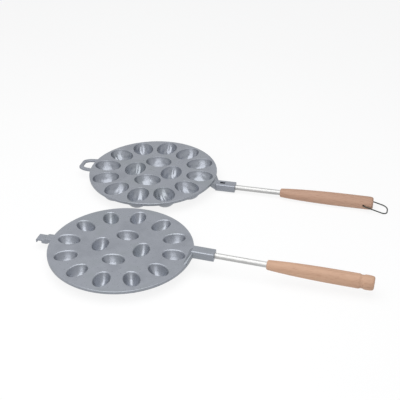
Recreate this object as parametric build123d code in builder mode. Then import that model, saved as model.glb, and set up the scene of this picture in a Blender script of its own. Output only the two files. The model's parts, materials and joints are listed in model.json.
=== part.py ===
# A stove-top pan for walnut-shaped biscuits: two round cast plates with a steel
# rod and a turned wooden grip each. The plates hook together at one side, and
# here they lie unhooked, side by side, with both grips towards +X.
# Millimetres and degrees, +Z up, the table at Z = 0, and the origin on the
# table below the middle of the whole.

import os
from math import asin, atan2, cos, pi, radians, sin

from build123d import *

# Plates
plate_radius = 105.0
plate_thickness = 4.5
rim_bevel = 0.7
casting_wall = 2.5

# Nut shapes, on an outer ring of radial ones and an inner ring of crosswise ones
outer_count = 12
# from the rim in to the middle of the outer nuts
rim_margin = 26.0
inner_count = 4
inner_ring = 31.0
nut_length = 43.5
nut_width = 33.5
nut_depth = 17.0
# the dough between a hollow and the bump that dips into it
biscuit_wall = 2.4
# a nut's curve is cast in straight bands, which end where the curve has turned so far
band_angles = (0, 32, 58, 76)
# and its oval in so many flats
nut_sides = 14
# the soft lip of the hollow backs on the upper plate
lip_width = 1.8
lip_depth = 2.2

# Rods and the sockets that hold them
rod_radius = 4.1
# the length of rod that shows between socket and grip
rod_showing = 73.5
socket_gap = 2.0
socket_length = 32.0
socket_width = 16.0
socket_height = 12.0
socket_round = 3.5
seat_depth = 25.0
# how far the lower rod lies below the lower plate's inner face
lower_rod_drop = 14.0
# how far the upper rod lies above the upper plate's outer face, at the socket's end
upper_rod_rise = 8.8
# the upper handle falls away towards its grip
upper_rod_fall = 1.95
# the shoulder that spreads each socket onto its plate: its foot lies inside the
# rim, and its crest is the socket's own section, outside the rim
shoulder_inset = 7.5
shoulder_foot = 4.5
shoulder_width = 39.0
shoulder_sink = 0.5
shoulder_run = 4.0
window_length = 8.5
window_width = 4.5
# from the rim out to the window
window_gap = 8.5

# Grips
# the turned outline: how far from the rod's end, and the radius there
grip_outline = (
    (0.0, 5.9),
    (1.1, 6.9),
    (22.0, 8.35),
    (45.0, 9.4),
    (75.0, 10.15),
    (110.0, 10.5),
    (144.0, 10.3),
    (146.0, 9.3),
    (146.7, 7.6),
)
# the turning is cast in so many flats
grip_sides = 20
rod_in_grip = 70.0
groove_from_end = 16.5
groove_width = 6.0
groove_depth = 1.3

# Wire bail on the lower grip
wire_radius = 0.95
bail_from_end = 14.0
bail_reach = 38.0
bail_half_width = 11.9
bail_corner = 8.0
# where each corner's curve is bent, from the leg round to the end
bail_corner_turns = (0, 45, 90)
bail_bend = 1.9
bail_tail_start = 5.0
bail_hole_radius = 1.5

# Hinge loop on the lower plate
loop_drop = 1.6
loop_thickness = 3.4
loop_bar = 6.0
loop_end_width = 26.0
loop_root_width = 39.0
loop_root_overlap = 5.0
loop_corner = 5.0
loop_bevel = 1.0
eye_length = 16.0
eye_root_width = 25.0
eye_corner = 1.5

# Hinge hook on the upper plate
hook_width = 14.0
hook_gap = 0.35
hook_neck = 2.8
hook_lip = 1.6
hook_lip_drop = 3.0
hook_lobe_length = 9.0
# the hump starts inside the rim and ends outside it, a little below the outer face
hump_inset = 4.0
hump_run = 8.5
hump_drop = 0.8
hump_round = 3.0
hump_slope = 2.0
nose_round = 2.0
lip_round = 0.7
lobe_round = 2.0

# Where the two halves lie
plates_apart = 10.2
upper_shift = 20.4


# Worked-out sizes
outer_ring = plate_radius - rim_margin
socket_start = plate_radius + socket_gap
socket_end = socket_start + socket_length
grip_start = socket_end + rod_showing
plate_spacing = 2 * plate_radius + plates_apart
bulge_length = nut_length + 2 * casting_wall
bulge_width = nut_width + 2 * casting_wall
bulge_depth = nut_depth + casting_wall
bump_length = nut_length - 2 * biscuit_wall
bump_width = nut_width - 2 * biscuit_wall
bump_depth = nut_depth - biscuit_wall
back_length = bump_length - 2 * casting_wall
back_width = bump_width - 2 * casting_wall
back_depth = plate_thickness + bump_depth - casting_wall
grip_length = grip_outline[-1][0]
grip_radius = max(radius for along, radius in grip_outline)
grip_end = grip_start + grip_length
bail_pin = grip_end - bail_from_end
eye_end = plate_radius + eye_length
loop_reach = eye_end + loop_bar
eye_end_width = hook_width + 2 * hook_gap
bar_middle = eye_end + loop_bar / 2

# The lower half leans on its farthest bulge and on its grip
bulge_foot = outer_ring + bulge_length / 2 * cos(radians(band_angles[-1]))
lean = max(
    atan2(lower_rod_drop + radius - bulge_depth, grip_start + along + bulge_foot)
    for along, radius in grip_outline
)
lower_height = bulge_depth * cos(lean) + bulge_foot * sin(lean)
upper_height = plate_thickness + bump_depth

# The bail hangs from its hole until its end lies on the table
pin_height = lower_height + bail_pin * sin(lean) - lower_rod_drop * cos(lean)
bail_droop = asin((pin_height - wire_radius) / bail_reach)
bail_tip = bail_pin + bail_reach * cos(bail_droop) + wire_radius

lower_x = (loop_reach - bail_tip) / 2
lower_origin = (lower_x, plate_spacing / 2, lower_height)
upper_origin = (lower_x + upper_shift, -plate_spacing / 2, upper_height)
lower = Plane(lower_origin, x_dir=(cos(lean), 0, sin(lean)), z_dir=(-sin(lean), 0, cos(lean)))
upper = Plane(upper_origin, x_dir=(1, 0, 0), z_dir=(0, 0, 1))


# A half's upright plane through its middle, X outwards to the grip and Y up
def side(half):
    return Plane(half.origin, x_dir=half.x_dir, z_dir=-half.y_dir)


# The axis of a half's handle, as a plane with X along the rod from the socket's end
def handle(half, height, fall):
    start = side(half).from_local_coords((socket_end, height))
    along = Vector(half.x_dir).rotate(Axis((0, 0, 0), half.y_dir), fall)
    return Plane(start, x_dir=along, z_dir=along.cross(half.y_dir))


lower_handle = handle(lower, -lower_rod_drop, 0)
upper_handle = handle(upper, upper_rod_rise, upper_rod_fall)


# The corners of a many-sided ring, flat side up to an axis
def ring(half_length, half_width, sides):
    turns = [2 * pi * (n + 0.5) / sides for n in range(sides)]
    return [(half_length * cos(turn), half_width * sin(turn)) for turn in turns]


# Half a nut below its mouth
def nut(length, width, depth):
    lowest = sin(radians(band_angles[-1]))
    corners = []
    for angle in band_angles:
        share = cos(radians(angle)) / 2
        drop = depth * sin(radians(angle)) / lowest
        corners += [(x, y, -drop) for x, y in ring(length * share, width * share, nut_sides)]
    with BuildPart() as shape:
        ConvexPolyhedron(corners)
    return shape.part


hollow = nut(nut_length, nut_width, nut_depth)
bulge = nut(bulge_length, bulge_width, bulge_depth)
bump = nut(bump_length, bump_width, bump_depth)
with BuildPart() as soft_back:
    add(nut(back_length, back_width, back_depth))
    mouth = ring(back_length / 2 + lip_width, back_width / 2 + lip_width, nut_sides)
    throat = ring(back_length / 2, back_width / 2, nut_sides)
    ConvexPolyhedron([(x, y, 0) for x, y in mouth] + [(x, y, -lip_depth) for x, y in throat])


# The nut shapes of one kind, all round the plate in hand
def all_nuts(shape, mode):
    with PolarLocations(outer_ring, outer_count):
        add(shape, mode=mode)
    with PolarLocations(inner_ring, inner_count):
        add(shape, rotation=(0, 0, 90), mode=mode)


# The block that holds a rod, and the shoulder that spreads it onto the plate
def socket(half, axis, face, outwards):
    section = Plane(axis.origin, x_dir=axis.y_dir, z_dir=-axis.x_dir)
    with BuildSketch(section) as block:
        RectangleRounded(socket_width, socket_height, socket_round)
    extrude(block.sketch, amount=socket_end - socket_start)
    foot_start = plate_radius - shoulder_inset
    foot_sides = (-shoulder_width / 2, shoulder_width / 2)
    foot_height = face - outwards * shoulder_sink
    corners = [
        (x, y, foot_height) for x in (foot_start, foot_start + shoulder_foot) for y in foot_sides
    ]
    crest = plate_radius + shoulder_run - socket_end
    wide, tall = socket_width / 2, socket_height / 2
    for y, z in ((wide, tall - socket_round), (wide - socket_round, tall)):
        for spot in ((y, z), (y, -z), (-y, z), (-y, -z)):
            corner = axis.from_local_coords((crest, *spot))
            corners.append(tuple(half.to_local_coords(corner)))
    ConvexPolyhedron(corners)


# The hinge loop in its half's frame: a strap whose eye ends at the plate's rim
root_edge = loop_root_overlap - plate_radius
with BuildPart() as hinge_loop:
    with BuildSketch(Plane.XY.offset(-loop_drop)) as strap:
        with BuildLine():
            Polyline(
                (root_edge, loop_root_width / 2),
                (-plate_radius, loop_root_width / 2),
                (-loop_reach, loop_end_width / 2),
                (-loop_reach, -loop_end_width / 2),
                (-plate_radius, -loop_root_width / 2),
                (root_edge, -loop_root_width / 2),
                close=True,
            )
        make_face()
        fillet(strap.vertices().group_by(Axis.X)[0], loop_corner)
    extrude(amount=-loop_thickness)
    with BuildSketch(Plane.XY.offset(-loop_drop)) as eye:
        with BuildLine():
            Polyline(
                (root_edge, eye_root_width / 2),
                (-plate_radius, eye_root_width / 2),
                (-eye_end, eye_end_width / 2),
                (-eye_end, -eye_end_width / 2),
                (-plate_radius, -eye_root_width / 2),
                (root_edge, -eye_root_width / 2),
                close=True,
            )
        make_face()
        fillet(eye.vertices().group_by(Axis.X)[0], eye_corner)
    extrude(amount=-loop_thickness, mode=Mode.SUBTRACT)
    bar_edges = hinge_loop.edges().filter_by(Axis.Y).group_by(Axis.X)
    chamfer(bar_edges[0] + bar_edges[1], loop_bevel)

# Lower plate
with BuildPart(lower) as lower_plate:
    with BuildSketch(lower):
        Circle(plate_radius)
    extrude(amount=-plate_thickness)
    chamfer(lower_plate.edges().filter_by(GeomType.CIRCLE), rim_bevel)
    all_nuts(bulge, Mode.ADD)
    socket(lower, lower_handle, -plate_thickness, -1)

    add(hinge_loop.part)
    all_nuts(hollow, Mode.SUBTRACT)

    # the rod's seat and the window over it
    with BuildSketch(Plane(lower_handle.origin, x_dir=lower_handle.y_dir, z_dir=-lower_handle.x_dir)):
        Circle(rod_radius)
    extrude(amount=seat_depth, mode=Mode.SUBTRACT)
    with BuildSketch(lower.offset(-lower_rod_drop)):
        with Locations((plate_radius + window_gap + window_length / 2, 0)):
            Rectangle(window_length, window_width)
    extrude(amount=socket_height, mode=Mode.SUBTRACT)

# Upper plate
with BuildPart(upper) as upper_plate:
    with BuildSketch(upper):
        Circle(plate_radius)
    extrude(amount=-plate_thickness)
    chamfer(upper_plate.edges().filter_by(GeomType.CIRCLE), rim_bevel)
    with Locations((0, 0, -plate_thickness)):
        all_nuts(bump, Mode.ADD)
    socket(upper, upper_handle, 0, 1)
    all_nuts(soft_back.part, Mode.SUBTRACT)
    with BuildSketch(Plane(upper_handle.origin, x_dir=upper_handle.y_dir, z_dir=-upper_handle.x_dir)):
        Circle(rod_radius)
    extrude(amount=seat_depth, mode=Mode.SUBTRACT)

    # the hinge hook, whose seat fits over the loop's bar when the plates close
    bar_top = -plate_thickness - loop_drop
    neck_low = bar_top + hook_gap
    neck_top = neck_low + hook_neck
    lip_start = bar_middle + loop_bar / 2 + hook_gap
    lobe_start = bar_middle - loop_bar / 2 - hook_gap
    lobe_low = bar_top - loop_thickness
    hump_start = plate_radius - hump_inset
    hump_end = plate_radius + hump_run
    with BuildSketch(side(upper)) as hook:
        with BuildLine():
            Polyline(
                (-hump_start, -plate_thickness),
                (-hump_start, -hump_drop),
                (-hump_end, -hump_drop),
                (-hump_end - hump_slope, neck_top),
                (-lip_start - hook_lip, neck_top),
                (-lip_start - hook_lip, neck_low - hook_lip_drop),
                (-lip_start, neck_low - hook_lip_drop),
                (-lip_start, neck_low),
                (-lobe_start, neck_low),
                (-lobe_start, lobe_low),
                (-lobe_start + hook_lobe_length, lobe_low),
                (-plate_radius, -plate_thickness),
                close=True,
            )
        make_face()
        fillet(hook.vertices().group_by(Axis.Y)[-1], hump_round)
        fillet(hook.vertices().group_by(Axis.Y)[0].sort_by(Axis.X)[0], lobe_round)
        fillet(hook.vertices().group_by(Axis.X)[0].sort_by(Axis.Y)[-1], nose_round)
        fillet(hook.vertices().group_by(Axis.X)[0].sort_by(Axis.Y)[0], lip_round)
    extrude(amount=hook_width / 2, both=True)


# A straight rod between its socket and its grip
def rod(axis):
    length = grip_start - socket_end + rod_in_grip
    with BuildPart() as bar:
        with BuildSketch(Plane(axis.origin, x_dir=axis.y_dir, z_dir=axis.x_dir).offset(-seat_depth)):
            Circle(rod_radius)
        extrude(amount=seat_depth + length)
    return bar


lower_rod = rod(lower_handle)
upper_rod = rod(upper_handle)


# The upright plane through a handle's axis, X along the axis and Y up
def lengthwise(axis):
    return Plane(axis.origin, x_dir=axis.x_dir, z_dir=-axis.y_dir)


# The turned grip that both halves have, with the bore for its rod
def turned_grip(axis):
    near = grip_start - socket_end
    with BuildPart(Plane(axis.origin, x_dir=axis.y_dir, z_dir=axis.x_dir)) as wood:
        with Locations((0, 0, near)):
            corners = []
            for along, radius in grip_outline:
                corners += [(x, y, along) for x, y in ring(radius, radius, grip_sides)]
            ConvexPolyhedron(corners)
            Cylinder(
                rod_radius,
                rod_in_grip,
                align=(Align.CENTER, Align.CENTER, Align.MIN),
                mode=Mode.SUBTRACT,
            )
    return wood.part


# Lower grip, with the cross hole for the bail
with BuildPart() as lower_grip:
    add(turned_grip(lower_handle))
    with BuildSketch(lengthwise(lower_handle)):
        with Locations((bail_pin - socket_end, 0)):
            Circle(bail_hole_radius)
    extrude(amount=grip_radius, both=True, mode=Mode.SUBTRACT)

# Upper grip, with the groove that the bail drops into when the pan is shut
with BuildPart() as upper_grip:
    add(turned_grip(upper_handle))
    with BuildSketch(lengthwise(upper_handle)):
        with Locations((grip_end - groove_from_end - socket_end, grip_radius)):
            Rectangle(groove_width, 2 * groove_depth)
    revolve(axis=Axis(upper_handle.origin, upper_handle.x_dir), mode=Mode.SUBTRACT)

# Wire bail, from one end in the cross hole round to the other
pin_middle = lower_handle.from_local_coords((bail_pin - socket_end, 0, 0))
droop_x, droop_z = cos(bail_droop), sin(bail_droop)
bail_plane = Plane(pin_middle, x_dir=(droop_x, 0, -droop_z), z_dir=(droop_z, 0, droop_x))
leg = [(0, bail_tail_start), (0, bail_half_width - bail_bend), (bail_bend, bail_half_width)]
for turn in bail_corner_turns:
    short_x = bail_corner * (1 - sin(radians(turn)))
    short_y = bail_corner * (1 - cos(radians(turn)))
    leg.append((bail_reach - short_x, bail_half_width - short_y))
with BuildPart() as wire_bail:
    with BuildLine(bail_plane) as bent:
        Polyline(*[(x, -y) for x, y in leg], *reversed(leg))
    with BuildSketch(Plane(bent.line @ 0, z_dir=bent.line % 0)):
        Circle(wire_radius)
    sweep(transition=Transition.RIGHT)

os.makedirs("parts", exist_ok=True)
for piece, name in (
    (lower_plate, "lower_plate"),
    (lower_rod, "lower_rod"),
    (lower_grip, "lower_grip"),
    (wire_bail, "wire_bail"),
    (upper_plate, "upper_plate"),
    (upper_rod, "upper_rod"),
    (upper_grip, "upper_grip"),
):
    piece.part.label = name
    export_step(piece.part, f"parts/{name}.step")
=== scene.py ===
# A pan for walnut-shaped biscuits, with its two halves unhooked and laid side
# by side. Pieces are shaped in millimetres in their own half's frame, whose
# origin is the middle of the plate's top face, and then moved to the shared one.
import json
import math

import bmesh
import bpy
from mathutils import Matrix, Vector


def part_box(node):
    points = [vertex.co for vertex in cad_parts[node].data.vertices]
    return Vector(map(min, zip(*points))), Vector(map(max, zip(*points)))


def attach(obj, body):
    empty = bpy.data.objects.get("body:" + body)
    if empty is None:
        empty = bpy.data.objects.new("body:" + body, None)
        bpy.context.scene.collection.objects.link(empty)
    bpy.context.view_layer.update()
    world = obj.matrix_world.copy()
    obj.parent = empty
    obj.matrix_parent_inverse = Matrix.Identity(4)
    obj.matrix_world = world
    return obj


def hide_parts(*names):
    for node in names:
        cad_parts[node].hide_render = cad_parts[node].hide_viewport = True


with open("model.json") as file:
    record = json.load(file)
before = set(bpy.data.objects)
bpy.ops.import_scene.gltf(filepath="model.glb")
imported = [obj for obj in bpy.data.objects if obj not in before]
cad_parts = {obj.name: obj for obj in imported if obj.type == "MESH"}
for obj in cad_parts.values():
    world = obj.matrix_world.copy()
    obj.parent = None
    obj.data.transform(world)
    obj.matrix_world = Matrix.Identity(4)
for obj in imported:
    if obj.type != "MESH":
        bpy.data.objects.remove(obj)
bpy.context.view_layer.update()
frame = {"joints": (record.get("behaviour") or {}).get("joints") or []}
print("frame loaded")

scene = bpy.context.scene
millimetre = 0.001

# Where things lie in a half's frame, with X along its handle
pan = {
    "plateRadius": 105.0, "plateThickness": 4.5,
    "socketEnd": 139.0, "gripStart": 212.5, "bailPin": 345.2,
    "rodRadius": 4.1, "rodLength": 168.5,
    "rodFall": 1.95,  # degrees that the upper rod falls towards its grip
    "lowerRodHeight": -14.0, "upperRodHeight": 8.8,
    "barMiddle": -124.0, "barHeight": -7.8,  # of the bar that a hook goes over
}
joints = {joint["name"]: Vector(joint["pos_m"]) for joint in frame["joints"]}

# the lower half leans, with its grip on the table, and its rod's box says how much
rodLow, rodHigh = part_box("lower_rod")
lean = math.asin(((rodHigh.z - rodLow.z) / millimetre - 2 * pan["rodRadius"]) / pan["rodLength"])


# A half's frame, from one of its points whose place a joint gives
def halfFrame(joint, point, tilt):
    turn = Matrix.Rotation(-tilt, 4, "Y")
    start = joints[joint] - turn @ (Vector(point) * millimetre)
    return Matrix.Translation(start) @ turn @ Matrix.Scale(millimetre, 4)


lowerHalf = halfFrame("bail_swing", (pan["bailPin"], 0, pan["lowerRodHeight"]), lean)
upperHalf = halfFrame("upper_half_swing", (pan["barMiddle"], 0, pan["barHeight"]), 0)
# handle frames start at the sockets' ends, on the rods' axes
lowerHandle = Matrix.Translation((pan["socketEnd"], 0, pan["lowerRodHeight"]))
upperHandle = (Matrix.Translation((pan["socketEnd"], 0, pan["upperRodHeight"]))
               @ Matrix.Rotation(math.radians(pan["rodFall"]), 4, "Y"))

# How meshes are made and shaded
making = {
    "roundSteps": 3, "cornerSteps": 6, "drillSides": 64,
    "cutterPast": 2.0,  # how far a drill starts outside what it cuts
    "mergeWithin": 0.0001, "endWithin": 0.01, "sharpAngle": 38,
    "level": 0.9, "upright": 0.1,  # how far up a flat face points at least, and a wall at most
}


def soften(bm, edges, width, segments=making["roundSteps"]):
    bmesh.ops.bevel(bm, geom=edges, offset=width, offset_type="OFFSET", segments=segments,
                    profile=0.5, affect="EDGES", clamp_overlap=True, material=-1)


# A flat outline whose corners are rounded off, each from its own distance along the edges
def softOutline(bm, corners, rounds, height):
    spots = [bm.verts.new((x, y, height)) for x, y in corners]
    bm.faces.new(spots)
    for spot, width in zip(spots, rounds):
        if width:
            bmesh.ops.bevel(bm, geom=[spot], offset=width, offset_type="OFFSET",
                            segments=making["cornerSteps"], profile=0.5, affect="VERTICES",
                            clamp_overlap=True, material=-1)


def vertsIn(geom):
    return [item for item in geom if isinstance(item, bmesh.types.BMVert)]


def edgesIn(geom):
    return [item for item in geom if isinstance(item, bmesh.types.BMEdge)]


# Edges whose ends are farther apart than a distance along one axis: 0, 1 or 2 for X, Y or Z
def edgesAlong(bm, axis, distance=1.0):
    return [edge for edge in bm.edges
            if abs(edge.verts[0].co[axis] - edge.verts[1].co[axis]) > distance]


# Edges between a flat face and a wall
def flatEdges(bm):
    bm.normal_update()
    found = []
    for edge in bm.edges:
        levels = [abs(face.normal.z) for face in edge.link_faces]
        if len(levels) == 2 and max(levels) > making["level"] and min(levels) < making["upright"]:
            found.append(edge)
    return found


# Pulls flat faces up into a closed solid
def pull(bm, height):
    pulled = bmesh.ops.extrude_face_region(bm, geom=bm.faces[:], use_keep_orig=True)
    bmesh.ops.translate(bm, verts=vertsIn(pulled["geom"]), vec=(0, 0, height))


def addBox(bm, middle, size):
    bmesh.ops.create_cube(bm, size=1, matrix=Matrix.Translation(middle) @ Matrix.Diagonal((*size, 1)))


# A round bar, upright about the origin until the matrix moves it
def addBar(bm, radius, length, sides, matrix=Matrix()):
    bmesh.ops.create_cone(bm, cap_ends=True, segments=sides, radius1=radius, radius2=radius,
                          depth=length, matrix=matrix)


def clean(bm):
    bmesh.ops.remove_doubles(bm, verts=bm.verts, dist=making["mergeWithin"])
    bmesh.ops.recalc_face_normals(bm, faces=bm.faces)


def meshOf(bm):
    clean(bm)
    mesh = bpy.data.meshes.new("piece")
    bm.to_mesh(mesh)
    bm.free()
    return mesh


# A solid to start from, or one that only joins or cuts another
def scratch(bm, matrix=None):
    mesh = meshOf(bm)
    if matrix:
        mesh.transform(matrix)
    made = bpy.data.objects.new("scratch", mesh)
    scene.collection.objects.link(made)
    return made


# A round bar along X, to cut with
def drill(radius, start, end, matrix=None):
    bm = bmesh.new()
    addBar(bm, radius, end - start, making["drillSides"],
           Matrix.Translation(((start + end) / 2, 0, 0)) @ Matrix.Rotation(math.pi / 2, 4, "Y"))
    return scratch(bm, matrix)


# Joins or cuts the other solids one after the other
def carve(base, steps):
    for operation, other in steps:
        modifier = base.modifiers.new("step", "BOOLEAN")
        modifier.operation = operation
        modifier.solver = "EXACT"
        modifier.object = other
    depsgraph = bpy.context.evaluated_depsgraph_get()
    mesh = bpy.data.meshes.new_from_object(base.evaluated_get(depsgraph))
    for other in [base] + [other for operation, other in steps]:
        old = other.data
        bpy.data.objects.remove(other)
        bpy.data.meshes.remove(old)
    return mesh


# Puts a finished mesh into the shared frame, in place of its CAD node
def place(name, mesh, matrix, material, body, node):
    mesh.name = name
    mesh.transform(matrix)
    mesh.materials.clear()
    mesh.materials.append(material)
    for polygon in mesh.polygons:
        polygon.use_smooth = True
        polygon.material_index = 0
    mesh.set_sharp_from_angle(angle=math.radians(making["sharpAngle"]))
    piece = bpy.data.objects.new(name, mesh)
    scene.collection.objects.link(piece)
    weighted = piece.modifiers.new("faceWeighted", "WEIGHTED_NORMAL")
    weighted.keep_sharp = True
    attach(piece, body)
    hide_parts(node)
    print(name, len(mesh.polygons), "faces")


# An sRGB hex colour as linear red, green, blue and alpha
def linear(code):
    shares = [int(code[n:n + 2], 16) / 255 for n in (1, 3, 5)]
    return [share / 12.92 if share <= 0.04045 else ((share + 0.055) / 1.055) ** 2.4
            for share in shares] + [1.0]


# The scale at which a noise has spots of a size in millimetres
def noiseScale(size):
    return 1000 / size


# Adds one node with its settings, values, colour stops and links
def addNode(tree, kind, values=None, links=None, stops=None, **settings):
    node = tree.nodes.new("ShaderNode" + kind)
    for name, value in settings.items():
        setattr(node, name, value)
    for name, value in (values or {}).items():
        node.inputs[name].default_value = value
    for n, (position, colour) in enumerate(stops or []):
        elements = node.color_ramp.elements
        element = elements[n] if n < len(elements) else elements.new(position)
        element.position = position
        element.color = linear(colour)
    for name, source in (links or {}).items():
        tree.links.new(source, node.inputs[name])
    return node


def newMaterial(name, **shader):
    made = bpy.data.materials.new(name)
    made.use_nodes = True
    principled = made.node_tree.nodes["Principled BSDF"]
    for socket, value in shader.items():
        principled.inputs[socket].default_value = value
    return made, made.node_tree, principled


noiseReach = (0.3, 0.7)  # nearly all of a noise lies between these


# What the pan's finishes share: their colour, a roughness that one noise moves between two
# values, and a fine relief from another noise, with its strength and depth
def finishSurface(tree, principled, colour, noise, rough, grain, relief):
    roughness = addNode(tree, "MapRange", {"From Min": noiseReach[0], "From Max": noiseReach[1],
                                           "To Min": rough[0], "To Max": rough[1]},
                        {"Value": noise.outputs["Fac"]})
    bump = addNode(tree, "Bump", {"Strength": relief[0], "Distance": relief[1]},
                   {"Height": grain.outputs["Fac"]})
    tree.links.new(colour, principled.inputs["Base Color"])
    tree.links.new(roughness.outputs["Result"], principled.inputs["Roughness"])
    tree.links.new(bump.outputs["Normal"], principled.inputs["Normal"])


# Sand-cast aluminium with a thin dull skin. The eye sees a soft grey-blue sheen, broad
# highlights without a mirror image, and a faint mottling over a few centimetres.
aluminiumLook = {
    "mottleSize": 36.0, "waveSize": 6.0, "detail": 2.0, "metallic": 0.6,
    "colours": [(0.32, "#878b93"), (0.5, "#8f939b"), (0.68, "#8a8f95")],
    "rough": (0.26, 0.34), "relief": (0.06, 0.0003),
}


def castAluminium():
    s = aluminiumLook
    made, tree, principled = newMaterial("castAluminium", Metallic=s["metallic"])
    spot = addNode(tree, "TexCoord").outputs["Object"]
    mottle = addNode(tree, "TexNoise", {"Scale": noiseScale(s["mottleSize"]), "Detail": s["detail"]},
                     {"Vector": spot})
    waves = addNode(tree, "TexNoise", {"Scale": noiseScale(s["waveSize"]), "Detail": s["detail"]},
                    {"Vector": spot})
    colour = addNode(tree, "ValToRGB", links={"Fac": mottle.outputs["Fac"]}, stops=s["colours"])
    finishSurface(tree, principled, colour.outputs["Color"], waves, s["rough"], waves, s["relief"])
    return made


# Bright drawn steel, a little dulled by use. The eye sees a light grey rod with one soft
# bright band along it, broken up by fine lengthwise drawing lines.
# The end inside its socket is painted near black, as painted shade that darkens the window over it.
steelLook = {
    "lineSize": 1.1,  # real lines are under 0.1 mm: coarser here, so that they show
    "lineStretch": 0.02, "lineDetail": 2.0, "dullSize": 16.0, "dullDetail": 3.0, "metallic": 0.75,
    # painted shade: near black for the rod where it lies inside its socket
    "colours": [(0.3, "#acacab"), (0.7, "#b9b9b8")], "paintedSocketShade": "#262524",
    "rough": (0.38, 0.48), "relief": (0.1, 0.00003),
}


def drawnSteel(name, socketEnd):
    s = steelLook
    made, tree, principled = newMaterial(name, Metallic=s["metallic"])
    spot = addNode(tree, "TexCoord").outputs["Object"]
    along = addNode(tree, "Mapping", {"Scale": (s["lineStretch"], 1, 1)}, {"Vector": spot})
    lines = addNode(tree, "TexNoise", {"Scale": noiseScale(s["lineSize"]), "Detail": s["lineDetail"]},
                    {"Vector": along.outputs["Vector"]})
    dull = addNode(tree, "TexNoise", {"Scale": noiseScale(s["dullSize"]), "Detail": s["dullDetail"]},
                   {"Vector": spot})
    bright = addNode(tree, "ValToRGB", links={"Fac": dull.outputs["Fac"]}, stops=s["colours"])
    parts = addNode(tree, "SeparateXYZ", links={"Vector": spot})
    # painted shade: the rod turns near black inside its socket, to darken the window over it
    inside = addNode(tree, "MapRange", {"From Min": socketEnd - millimetre, "From Max": socketEnd,
                                        "To Min": 1.0, "To Max": 0.0}, {"Value": parts.outputs["X"]})
    colour = addNode(tree, "Mix", data_type="RGBA", values={"B": linear(s["paintedSocketShade"])},
                     links={"Factor": inside.outputs["Result"], "A": bright.outputs["Color"]})
    finishSurface(tree, principled, colour.outputs["Result"], dull, s["rough"], lines, s["relief"])
    return made


# Turned beech, bare and dry. The eye sees a warm pink-brown with soft long grain and the
# short darker flecks of beech, and nearly no shine. The front grip is a little paler.
beechLook = {
    "figureSize": 9.0, "figureStretch": 0.07, "figureDetail": 5.0, "figureRough": 0.6,
    "fleckSize": 1.1,  # real flecks are about half as wide: coarser here, so that they show
    "fleckStretch": 0.12, "fleckDetail": 2.0, "fleckShare": 0.3,
    "fleckColours": [(0.3, "#b78e78"), (0.46, "#ffffff")],
    "rear": [(0.28, "#aa856f"), (0.5, "#b4907a"), (0.72, "#bd9982")],
    "front": [(0.28, "#b69177"), (0.5, "#c19b81"), (0.72, "#c9a589")],
    "rough": (0.5, 0.66), "relief": (0.2, 0.00005),
}


def turnedBeech(name, colours):
    s = beechLook
    made, tree, principled = newMaterial(name)
    spot = addNode(tree, "TexCoord").outputs["Object"]
    longways = addNode(tree, "Mapping", {"Scale": (s["figureStretch"], 1, 1)}, {"Vector": spot})
    shortways = addNode(tree, "Mapping", {"Scale": (s["fleckStretch"], 1, 1)}, {"Vector": spot})
    figure = addNode(tree, "TexNoise", {"Scale": noiseScale(s["figureSize"]),
                                        "Detail": s["figureDetail"], "Roughness": s["figureRough"]},
                     {"Vector": longways.outputs["Vector"]})
    flecks = addNode(tree, "TexNoise", {"Scale": noiseScale(s["fleckSize"]),
                                        "Detail": s["fleckDetail"]},
                     {"Vector": shortways.outputs["Vector"]})
    wood = addNode(tree, "ValToRGB", links={"Fac": figure.outputs["Fac"]}, stops=s[colours])
    fleck = addNode(tree, "ValToRGB", links={"Fac": flecks.outputs["Fac"]}, stops=s["fleckColours"])
    mixed = addNode(tree, "Mix", data_type="RGBA", blend_type="MULTIPLY",
                    values={"Factor": s["fleckShare"]},
                    links={"A": wood.outputs["Color"], "B": fleck.outputs["Color"]})
    finishSurface(tree, principled, mixed.outputs["Result"], figure, s["rough"], flecks, s["relief"])
    return made


# Soft iron wire, dark from heat and grease. The eye sees a thin grey-green line with a dull,
# patchy sheen.
wireLook = {
    "patchSize": 4.0, "detail": 3.0, "metallic": 0.85,
    "colours": [(0.3, "#303431"), (0.7, "#4a4e4a")],
    "rough": (0.38, 0.55), "relief": (0.2, 0.00005),
}


def darkWire():
    s = wireLook
    made, tree, principled = newMaterial("darkIronWire", Metallic=s["metallic"])
    spot = addNode(tree, "TexCoord").outputs["Object"]
    patches = addNode(tree, "TexNoise", {"Scale": noiseScale(s["patchSize"]), "Detail": s["detail"]},
                      {"Vector": spot})
    colour = addNode(tree, "ValToRGB", links={"Fac": patches.outputs["Fac"]}, stops=s["colours"])
    finishSurface(tree, principled, colour.outputs["Color"], patches, s["rough"], patches, s["relief"])
    return made


lowerRodPlace, upperRodPlace = lowerHalf @ lowerHandle, upperHalf @ upperHandle
aluminium = castAluminium()
rearSteel = drawnSteel("drawnSteelRear", lowerRodPlace.translation.x)
frontSteel = drawnSteel("drawnSteelFront", upperRodPlace.translation.x)
rearBeech = turnedBeech("turnedBeechRear", "rear")
frontBeech = turnedBeech("turnedBeechFront", "front")
ironWire = darkWire()
print("materials made")


# Half nuts: hollows and bulges in the lower plate, bumps and hollow backs in the upper one
nutShape = {
    "outerCount": 12, "outerRing": 79.0, "innerCount": 4, "innerRing": 31.0,
    "length": 43.5, "width": 33.5, "depth": 17.0, "wall": 2.5,
    "biscuit": 2.4, "backRise": 2.5,  # room round a bump, and how much shallower its back is
    "sides": 72, "rings": 32, "lipSteps": 4,
    "bulgeTop": -1.0,  # bulges and bumps start inside the plate
    "cutAbove": 1.0, "cutPast": 0.3,  # a cutter ends above the face, a little wider than its lip
    # flare leans the walls out, keel under 1 flattens the bottom along the nut, and the lip
    # takes over where the wall leans by so many degrees
    "round": {"flare": 0.5, "keel": 1.0, "lip": 0.0, "lean": 90},
    "hollow": {"flare": 0.82, "keel": 0.72, "lip": 0.55, "lean": 72},
    "back": {"flare": 0.95, "keel": 0.72, "lip": 2.2, "lean": 62},
}
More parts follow.
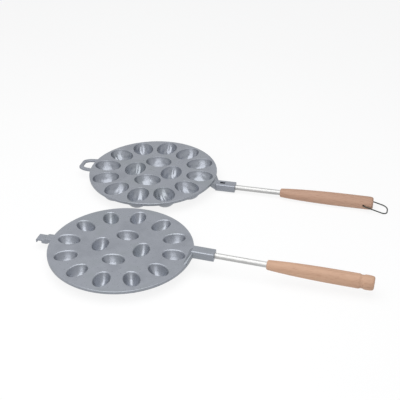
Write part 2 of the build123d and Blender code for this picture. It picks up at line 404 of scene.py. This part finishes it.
# The print of a walnut's shell: a seam along the bottom with a groove on each side, and folds.
# Turns are in radians for a millimetre, and a nut's seed shifts them.
shellShape = {
    "seam": 0.85, "seamWidth": 1.5, "seamSteady": 0.45, "seamVaries": 0.55, "seamTurn": 0.21,
    "groove": 0.5, "grooveWidth": 1.5, "grooveOut": 3.6,
    "fold": 0.4, "foldTurn": 0.95, "foldSlant": 0.32,
    "foldSteady": 0.6, "foldVaries": 0.4, "foldVariesTurn": 0.5, "wander": 1.3, "wanderTurn": 0.24,
    "fade": 0.28,  # share of the nut over which the print fades out to the rim
    "seedStep": 0.7,
}


def shellRelief(x, y, length, width, seed):
    s = shellShape
    seam = s["seam"] * math.exp(-(y / s["seamWidth"]) ** 2)
    seam -= s["groove"] * math.exp(-((abs(y) - s["grooveOut"]) / s["grooveWidth"]) ** 2)
    seam *= s["seamSteady"] + s["seamVaries"] * math.cos(x * s["seamTurn"] + seed)
    slant = y + s["foldSlant"] * abs(x) * (1 if y > 0 else -1)
    wander = s["wander"] * math.sin(x * s["wanderTurn"] + seed)
    folds = s["fold"] * math.sin(slant * s["foldTurn"] + wander + seed)
    folds *= s["foldSteady"] + s["foldVaries"] * math.sin(x * s["foldVariesTurn"] + 2 * seed)
    fade = max(0.0, min(1.0, (1 - math.hypot(2 * x / length, 2 * y / width)) / s["fade"]))
    return (seam + folds) * fade * fade * (3 - 2 * fade)  # eased in and out


# How far out and how high each step of a lip goes: it rolls over from the wall's lean to flat,
# and the last step is the cutter's end above the face
def lipSteps(lip, wall, top):
    s = nutShape
    turns = [wall * (1 - (n + 1) / s["lipSteps"]) for n in range(s["lipSteps"])]
    steps = [(lip * (math.sin(wall) - math.sin(turn)), top - lip * (1 - math.cos(turn)))
             for turn in turns]
    return steps + [(lip * math.sin(wall) + s["cutPast"], top + s["cutAbove"])]


# One half nut that opens upwards: the lower part of a sphere, drawn out and closed above
def halfNut(length, width, depth, top, form, seed):
    s = nutShape
    flare, keel, lip, wall = form["flare"], form["keel"], form["lip"], math.radians(form["lean"])
    drop = lip * (1 - math.cos(wall))  # from the face down to where the lip starts
    bm = bmesh.new()
    bmesh.ops.create_uvsphere(bm, u_segments=s["sides"], v_segments=s["rings"], radius=1)
    bmesh.ops.bisect_plane(bm, geom=bm.verts[:] + bm.edges[:] + bm.faces[:],
                           plane_co=(0, 0, -(drop / depth) ** (0.5 / flare)), plane_no=(0, 0, 1),
                           clear_outer=True)
    rim = [edge for edge in bm.edges if edge.is_boundary]
    rimVerts = {vert for edge in rim for vert in edge.verts}
    for vert in bm.verts:
        x, y, z = vert.co
        share = max(math.hypot(x, y), 0.00001)  # never zero, not even at the pole
        x, y = length / 2 * x * share ** (keel - 1), width / 2 * y
        z = top - depth * max(0.0, -z) ** (2 * flare)
        vert.co = (x, y, z)
        if seed is not None and vert not in rimVerts:
            # straight out of the oval
            normal = Vector((x * 4 / length ** 2, y * 4 / width ** 2, (z - top) / depth ** 2))
            vert.co -= normal.normalized() * shellRelief(x, y, length, width, seed)
    reached = 0.0
    for outwards, height in (lipSteps(lip, wall, top) if lip else []):
        grown = bmesh.ops.extrude_edge_only(bm, edges=rim)["geom"]
        rim = edgesIn(grown)
        for vert in vertsIn(grown):
            away = Vector((vert.co.x / length, vert.co.y / width, 0)).normalized()
            vert.co += away * (outwards - reached)
            vert.co.z = height
        reached = outwards
    bmesh.ops.edgeloop_fill(bm, edges=[edge for edge in bm.edges if edge.is_boundary])
    return bm


# All half nuts of one form: those of the outer ring point to the middle, the inner ones lie across
def allNuts(shrink, depth, top, form, printed=False):
    s = nutShape
    spots = [(s["outerRing"], 360 / s["outerCount"] * n, 0) for n in range(s["outerCount"])]
    spots += [(s["innerRing"], 360 / s["innerCount"] * n, 90) for n in range(s["innerCount"])]
    length, width = s["length"] - shrink, s["width"] - shrink
    joined = bmesh.new()
    for n, (distance, turn, across) in enumerate(spots):
        seed = shellShape["seedStep"] * n if printed else None
        nut = meshOf(halfNut(length, width, depth, top, s[form], seed))
        nut.transform(Matrix.Rotation(math.radians(turn), 4, "Z") @ Matrix.Translation((distance, 0, 0))
                      @ Matrix.Rotation(math.radians(across), 4, "Z"))
        joined.from_mesh(nut)
        bpy.data.meshes.remove(nut)
    return scratch(joined)


# The plates' discs
discShape = {"sides": 288, "round": 0.9, "roundSteps": 4}


def disc():
    thickness = pan["plateThickness"]
    bm = bmesh.new()
    addBar(bm, pan["plateRadius"], thickness, discShape["sides"],
           Matrix.Translation((0, 0, -thickness / 2)))
    soften(bm, flatEdges(bm), discShape["round"], discShape["roundSteps"])
    return scratch(bm)


# The block that holds a rod, its shoulder on the plate, and the window over the lower rod
socketShape = {
    "start": 107.0, "width": 16.0, "height": 12.0, "round": 1.7, "roundSteps": 5, "endRound": 0.8,
    "seat": 25.0, "boreGap": 0.02,  # how deep the rod goes in, and the room round it
    "footStart": 97.5, "footEnd": 102.0, "footWidth": 39.0, "footRound": 1.6,
    "footSink": 0.5, "footDepth": 2.0, "crest": 109.0, "crestLength": 0.1,
    "window": (113.5, 122.0, 4.5), "windowRound": 0.8,  # start, end and width
    "cavity": (5.2, -26.2, -16.2),  # dark hollow under the window: radius, and ends along the rod
}


def socketBlock(handle):
    s = socketShape
    length = pan["socketEnd"] - s["start"]
    bm = bmesh.new()
    addBox(bm, (-length / 2, 0, 0), (length, s["width"], s["height"]))
    soften(bm, edgesAlong(bm, 0), s["round"], s["roundSteps"])
    endEdges = [edge for edge in bm.edges
                if min(vert.co.x for vert in edge.verts) > -making["endWithin"]]
    soften(bm, endEdges, s["endRound"])
    return scratch(bm, handle)


# A wedge from its foot on the plate, inside the rim, to the block's section: outwards is 1
# where it goes up from the face, and -1 where it goes down
def shoulder(handle, face, outwards):
    s = socketShape
    footMiddle = (s["footStart"] + s["footEnd"]) / 2
    footHeight = face - outwards * (s["footSink"] + s["footDepth"] / 2)
    foot = bmesh.new()
    addBox(foot, (footMiddle, 0, footHeight),
           (s["footEnd"] - s["footStart"], s["footWidth"], s["footDepth"]))
    soften(foot, edgesAlong(foot, 2), s["footRound"])
    thin = s["crestLength"]
    crest = bmesh.new()
    addBox(crest, (s["crest"] - pan["socketEnd"], 0, 0), (thin, s["width"] - thin, s["height"] - thin))
    soften(crest, edgesAlong(crest, 0, thin / 2), s["round"], s["roundSteps"])
    bmesh.ops.transform(crest, matrix=handle, verts=crest.verts)
    top = meshOf(crest)
    foot.from_mesh(top)
    bpy.data.meshes.remove(top)
    # one skin round both
    bmesh.ops.delete(foot, geom=foot.faces[:], context="FACES_ONLY")
    hull = bmesh.ops.convex_hull(foot, input=foot.verts)
    bmesh.ops.delete(foot, geom=vertsIn(hull["geom_interior"]), context="VERTS")
    return scratch(foot)


def bore(handle):
    radius = pan["rodRadius"] + socketShape["boreGap"]
    return drill(radius, -socketShape["seat"], making["cutterPast"], handle)


# Cuts from the plate's level down to the rod's axis
def window():
    start, end, width = socketShape["window"]
    depth = -pan["lowerRodHeight"]
    bm = bmesh.new()
    addBox(bm, ((start + end) / 2, 0, -depth / 2), (end - start, width, depth))
    soften(bm, edgesAlong(bm, 2), socketShape["windowRound"])
    return scratch(bm)


# Hinge loop: a bowed frame at the lower plate's rim, with one side of its outlines given
loopShape = {
    "top": -1.6, "thickness": 3.4, "edgeRound": 0.85,
    "outer": [(-97.0, 19.5), (-105.0, 19.5), (-117.5, 17.6), (-127.0, 12.0)],
    "outerRounds": [0.5, 1.0, 3.0, 4.0],
    "eye": [(-100.0, 12.5), (-105.0, 12.5), (-115.0, 11.4), (-121.0, 7.35)],
    "eyeRounds": [0.5, 1.0, 2.0, 1.2],
}


def hingeLoop():
    s = loopShape
    bm = bmesh.new()
    for half, rounds in ((s["outer"], s["outerRounds"]), (s["eye"], s["eyeRounds"])):
        corners = half + [(x, -y) for x, y in reversed(half)]
        softOutline(bm, corners, rounds + rounds[::-1], s["top"] - s["thickness"])
    # only the frame between the two outlines is filled
    bmesh.ops.delete(bm, geom=bm.faces[:], context="FACES_ONLY")
    bmesh.ops.bridge_loops(bm, edges=bm.edges[:])
    pull(bm, s["thickness"])
    clean(bm)
    soften(bm, flatEdges(bm), s["edgeRound"])
    return scratch(bm)


def lowerPlate():
    s = nutShape
    bulgeDepth = s["depth"] + s["wall"] + s["bulgeTop"]
    steps = [
        ("UNION", allNuts(-2 * s["wall"], bulgeDepth, s["bulgeTop"], "round")),
        ("UNION", shoulder(lowerHandle, -pan["plateThickness"], -1)),
        ("UNION", socketBlock(lowerHandle)),
        ("UNION", hingeLoop()),
        ("DIFFERENCE", allNuts(0.0, s["depth"], 0.0, "hollow", printed=True)),
        ("DIFFERENCE", bore(lowerHandle)),
        ("DIFFERENCE", drill(*socketShape["cavity"], lowerHandle)),
        ("DIFFERENCE", window()),
    ]
    return carve(disc(), steps)


# Hinge hook: its side view, from the plate over the hump and down to the lip of the seat
hookShape = {
    "width": 14.0, "edgeRound": 0.6,
    "side": [(-101.0, -4.5), (-101.0, -0.8), (-113.5, -0.8), (-115.5, -2.95), (-128.94, -2.95),
             (-128.94, -8.75), (-127.35, -8.75), (-127.35, -5.75), (-120.65, -5.75), (-120.65, -9.5),
             (-111.65, -9.5), (-105.0, -4.5)],
    "rounds": [0, 2.0, 1.6, 0.8, 2.0, 0.6, 0.5, 0.4, 0.4, 1.8, 1.6, 0],
}


def hingeHook():
    s = hookShape
    bm = bmesh.new()
    softOutline(bm, s["side"], s["rounds"], -s["width"] / 2)
    pull(bm, s["width"])
    clean(bm)
    soften(bm, flatEdges(bm), s["edgeRound"])
    return scratch(bm, Matrix.Rotation(math.pi / 2, 4, "X"))


def upperPlate():
    s = nutShape
    smaller = 2 * s["biscuit"]
    bumpDepth = s["depth"] - s["biscuit"] + pan["plateThickness"]
    backDepth = bumpDepth - s["wall"] - s["backRise"]
    steps = [
        ("UNION", allNuts(smaller, bumpDepth + s["bulgeTop"], s["bulgeTop"], "round")),
        ("UNION", shoulder(upperHandle, 0.0, 1)),
        ("UNION", socketBlock(upperHandle)),
        ("UNION", hingeHook()),
        ("DIFFERENCE", allNuts(smaller + 2 * s["wall"], backDepth, 0.0, "back")),
        ("DIFFERENCE", bore(upperHandle)),
    ]
    return carve(disc(), steps)


place("lowerPlate", lowerPlate(), lowerHalf, aluminium, "lower_half", "lower_plate")
place("upperPlate", upperPlate(), upperHalf, aluminium, "upper_half", "upper_plate")


# Rods, each from its seat in the socket into the grip
rodShape = {"sides": 72, "endRound": 0.4}


def rodMesh():
    bm = bmesh.new()
    addBar(bm, pan["rodRadius"], pan["rodLength"], rodShape["sides"])
    soften(bm, flatEdges(bm), rodShape["endRound"])
    middle = pan["rodLength"] / 2 - socketShape["seat"]
    laid = Matrix.Translation((middle, 0, 0)) @ Matrix.Rotation(math.pi / 2, 4, "Y")
    bmesh.ops.transform(bm, matrix=laid, verts=bm.verts)
    return meshOf(bm)


# Grips: turned outlines, as distance along the grip and radius. One has a groove round it for
# the bail, and the other a cross hole that the bail turns in.
gripShape = {
    "sides": 96,
    "neck": [(0.0, 0.0), (0.0, 5.3), (0.25, 5.9), (1.1, 6.75), (2.2, 7.0), (11.0, 7.66), (22.0, 8.35),
             (33.0, 8.93), (45.0, 9.4), (60.0, 9.84), (75.0, 10.14), (92.0, 10.32), (110.0, 10.36)],
    "groove": [(125.9, 10.36), (126.6, 10.28), (127.4, 9.95), (128.5, 9.36),
               (131.9, 9.36), (133.0, 9.95), (133.8, 10.26), (134.5, 10.34)],
    "end": [(138.0, 10.32), (142.0, 10.2), (144.4, 9.8), (145.8, 9.05), (146.5, 8.0),
            (146.7, 6.8), (146.7, 0.0)],
    "bore": 4.12, "boreDepth": 70.0, "hole": 1.8, "holeReach": 14.0,
}


def gripMesh(grooved):
    s = gripShape
    start = pan["gripStart"] - pan["socketEnd"]
    outline = s["neck"] + (s["groove"] if grooved else []) + s["end"]
    bm = bmesh.new()
    verts = [bm.verts.new((start + x, radius, 0)) for x, radius in outline]
    edges = [bm.edges.new(pair) for pair in zip(verts, verts[1:])]
    bmesh.ops.spin(bm, geom=verts + edges, cent=(0, 0, 0), axis=(1, 0, 0), angle=2 * math.pi,
                   steps=s["sides"], use_merge=True)
    base = scratch(bm)
    steps = [("DIFFERENCE", drill(s["bore"], start - making["cutterPast"], start + s["boreDepth"]))]
    if not grooved:
        across = (Matrix.Translation((pan["bailPin"] - pan["socketEnd"], 0, 0))
                  @ Matrix.Rotation(math.pi / 2, 4, "Z"))
        steps.append(("DIFFERENCE", drill(s["hole"], -s["holeReach"], s["holeReach"], across)))
    return carve(base, steps)


place("lowerRod", rodMesh(), lowerRodPlace, rearSteel, "lower_half", "lower_rod")
place("upperRod", rodMesh(), upperRodPlace, frontSteel, "upper_half", "upper_rod")
place("lowerGrip", gripMesh(False), lowerRodPlace, rearBeech, "lower_half", "lower_grip")
place("upperGrip", gripMesh(True), upperRodPlace, frontBeech, "upper_half", "upper_grip")

# Wire bail: round wire led from one inner end round the loop to the other, drooping to the table
bailShape = {
    "radius": 0.95, "reach": 38.0, "half": 11.9, "corner": 8.5, "bend": 1.9, "tail": 5.0,
    "sides": 20, "bendSteps": 12,
}
pinHeight = joints["bail_swing"].z / millimetre
droop = math.asin((pinHeight - bailShape["radius"]) / bailShape["reach"])


def bailMesh():
    s = bailShape
    half, reach, corner, bend, tail = s["half"], s["reach"], s["corner"], s["bend"], s["tail"]
    side = reach - corner - bend
    bm = bmesh.new()
    start = Matrix.Translation((0, -tail, 0)) @ Matrix.Rotation(math.pi / 2, 4, "X")
    bmesh.ops.create_circle(bm, segments=s["sides"], radius=s["radius"], matrix=start)
    # straight runs, each but the last with a quarter turn after it, about a centre
    runs = [
        ((0, tail - half + bend, 0), (bend, bend - half, 0)),
        ((side, 0, 0), (reach - corner, corner - half, 0)),
        ((0, 2 * (half - corner), 0), (reach - corner, half - corner, 0)),
        ((-side, 0, 0), (bend, half - bend, 0)),
        ((0, tail - half + bend, 0), None),
    ]
    ring = bm.edges[:]
    for move, centre in runs:
        grown = bmesh.ops.extrude_edge_only(bm, edges=ring)["geom"]
        ring = edgesIn(grown)
        bmesh.ops.translate(bm, verts=vertsIn(grown), vec=move)
        if centre:
            turned = bmesh.ops.spin(bm, geom=ring, cent=centre, axis=(0, 0, 1), angle=math.pi / 2,
                                    steps=s["bendSteps"])
            ring = edgesIn(turned["geom_last"])
    bmesh.ops.edgeloop_fill(bm, edges=[edge for edge in bm.edges if edge.is_boundary])
    return meshOf(bm)


pinPlace = (Matrix.Translation(joints["bail_swing"]) @ Matrix.Rotation(droop, 4, "Y")
            @ Matrix.Scale(millimetre, 4))
place("wireBail", bailMesh(), pinPlace, ironWire, "bail", "wire_bail")
print("pieces made")


# One where the camera, a mirror or glass looks at this, and zero for the light it gives
def looksAt(tree):
    rays = addNode(tree, "LightPath").outputs
    seen = addNode(tree, "Math", links={0: rays["Is Camera Ray"], 1: rays["Is Glossy Ray"]},
                   operation="MAXIMUM").outputs["Value"]
    return addNode(tree, "Math", links={0: seen, 1: rays["Is Transmission Ray"]},
                   operation="MAXIMUM").outputs["Value"]


# Pale vinyl backdrop: camera and mirrors see it nearly white, and it keeps the shadow
floorLook = {
    "reach": 6.0, "patchSize": 330.0, "detail": 2.0, "colours": [(0.3, "#f4f4f4"), (0.7, "#f8f8f8")],
    "roughness": 0.9, "glow": 0.86,
}


def paleBackdrop():
    s = floorLook
    made, tree, principled = newMaterial("paleBackdrop", Roughness=s["roughness"])
    spot = addNode(tree, "TexCoord").outputs["Object"]
    patches = addNode(tree, "TexNoise", {"Scale": noiseScale(s["patchSize"]), "Detail": s["detail"]},
                      {"Vector": spot})
    colour = addNode(tree, "ValToRGB", links={"Fac": patches.outputs["Fac"]}, stops=s["colours"])
    tree.links.new(colour.outputs["Color"], principled.inputs["Base Color"])
    share = addNode(tree, "Math", {1: s["glow"]}, {0: looksAt(tree)}, operation="MULTIPLY")
    glow = addNode(tree, "Emission", {"Color": linear("#ffffff"), "Strength": 1.0})
    mixed = addNode(tree, "MixShader", links={0: share.outputs["Value"], 1: principled.outputs["BSDF"],
                                              2: glow.outputs["Emission"]})
    tree.links.new(mixed.outputs["Shader"], tree.nodes["Material Output"].inputs["Surface"])
    return made


floorMesh = bpy.data.meshes.new("floor")
floorShape = bmesh.new()
bmesh.ops.create_grid(floorShape, x_segments=1, y_segments=1, size=floorLook["reach"])
floorShape.to_mesh(floorMesh)
floorShape.free()
floorMesh.materials.append(paleBackdrop())
floorObject = bpy.data.objects.new("floor", floorMesh)
scene.collection.objects.link(floorObject)

# Even soft light all round, and white where the camera, mirrors and glass look
skyLook = {"colour": "#f9fbff", "strength": 0.36}
world = bpy.data.worlds.new("studio")
scene.world = world
world.use_nodes = True
sky = world.node_tree
softLight = sky.nodes["Background"]
softLight.inputs["Color"].default_value = linear(skyLook["colour"])
softLight.inputs["Strength"].default_value = skyLook["strength"]
white = addNode(sky, "Background", {"Color": linear("#ffffff"), "Strength": 1.0})
skyMixed = addNode(sky, "MixShader", links={0: looksAt(sky), 1: softLight.outputs["Background"],
                                            2: white.outputs["Background"]})
sky.links.new(skyMixed.outputs["Shader"], sky.nodes["World Output"].inputs["Surface"])

# Soft boxes, in metres and watts: one wide above and towards the camera, one faint in front
lamps = {
    "topLamp": {"spot": (-0.13, -0.4, 0.9), "aim": (-0.13, -0.35, 0.0),
                "size": (1.0, 1.5), "watts": 10.5},
    "frontLamp": {"spot": (0.1, -1.9, 0.9), "aim": (0.0, 0.0, 0.0),
                  "size": (1.4, 0.6), "watts": 4.0},
}
for lampName, lampShape in lamps.items():
    lamp = bpy.data.lights.new(lampName, "AREA")
    lamp.shape = "RECTANGLE"
    lamp.size, lamp.size_y = lampShape["size"]
    lamp.energy = lampShape["watts"]
    lampObject = bpy.data.objects.new(lampName, lamp)
    scene.collection.objects.link(lampObject)
    lampObject.location = lampShape["spot"]
    beam = Vector(lampShape["aim"]) - Vector(lampShape["spot"])
    lampObject.rotation_euler = beam.to_track_quat("-Z", "Y").to_euler()
scene.view_settings.view_transform = "Standard"

# Camera at the photograph's viewing angle, placed from the lower plate's middle in millimetres
cameraShape = {
    "spot": (390.6, -1161.3, 693.9), "aim": (98.5, -71.0, 0.0), "lens": 76.7, "sensor": 36.0,
    "roll": -0.44,  # degrees
}
camera = bpy.data.cameras.new("camera")
camera.lens = cameraShape["lens"]
camera.sensor_width = cameraShape["sensor"]
cameraObject = bpy.data.objects.new("camera", camera)
scene.collection.objects.link(cameraObject)
eye = lowerHalf.translation + Vector(cameraShape["spot"]) * millimetre
aim = lowerHalf.translation + Vector(cameraShape["aim"]) * millimetre
look = (aim - eye).to_track_quat("-Z", "Y").to_matrix().to_4x4()
cameraObject.matrix_world = (Matrix.Translation(eye) @ look
                             @ Matrix.Rotation(math.radians(cameraShape["roll"]), 4, "Z"))
scene.camera = cameraObject
print("stage set")
